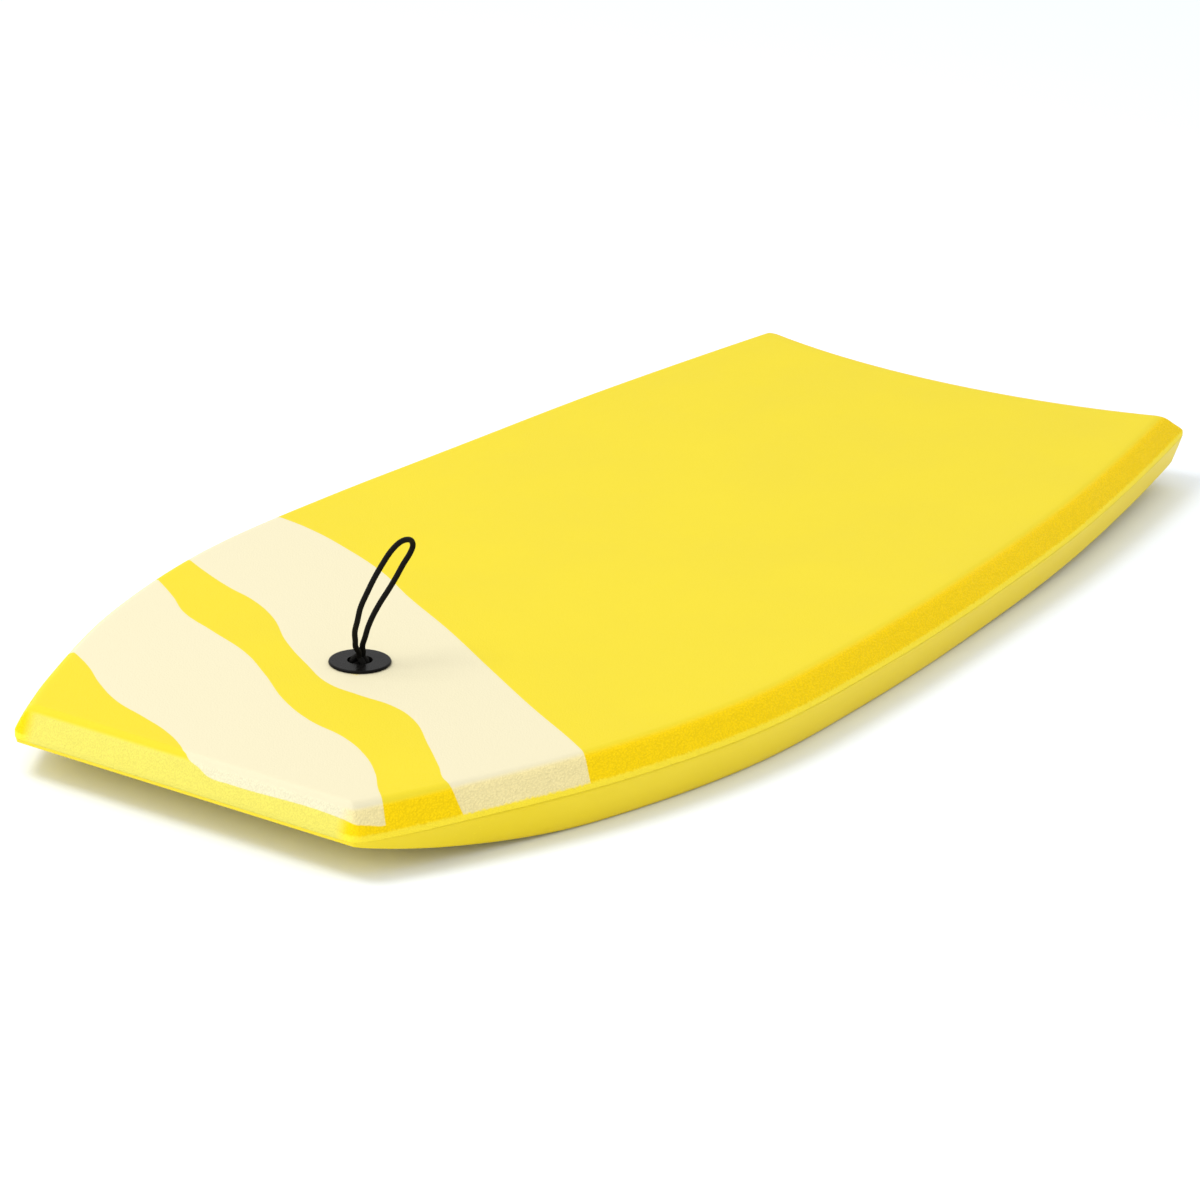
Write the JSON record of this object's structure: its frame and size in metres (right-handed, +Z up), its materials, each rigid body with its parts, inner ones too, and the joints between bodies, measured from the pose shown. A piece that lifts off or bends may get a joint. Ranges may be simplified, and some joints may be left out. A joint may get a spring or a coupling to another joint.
{
  "type": "bodyboard",
  "caption": "Foam bodyboard with a crescent tail, chamfered rails, a slick bottom and a leash plug whose cord loop swings on a crossbar.",
  "frame": {"origin": "under the middle of the board, on the surface that its flat bottom rests on", "axes": "+Z up, nose towards -Y, tail towards +Y, +X towards the right-hand rail as seen from in front of the nose"},
  "size_m": [0.5188, 1.047, 0.1444],
  "materials": {
    "core_foam": "white expanded bead foam",
    "deck_foam": "matt closed-cell foam with a fine embossed grain, yellow with printed cream waves",
    "slick": "smooth, slightly glossy sheet",
    "plug_plastic": "black moulded plastic, satin gloss",
    "cord": "black braided polyester cord"
  },
  "bodies": {
    "board": {"foam_core": "core_foam", "deck_skin": "deck_foam", "bottom_skin": "slick", "plug_cap": "plug_plastic", "plug_base": "plug_plastic"},
    "loop": {"loop_hitch": "cord", "leash_loop": "cord"}
  },
  "joints": [
    {"name": "loop_swing", "type": "hinge", "parent": "board", "child": "loop", "pos_m": [-0.008, -0.3195, 0.0508], "axis": [0, 1, 0], "range_deg": [-65, 40]}
  ]
}
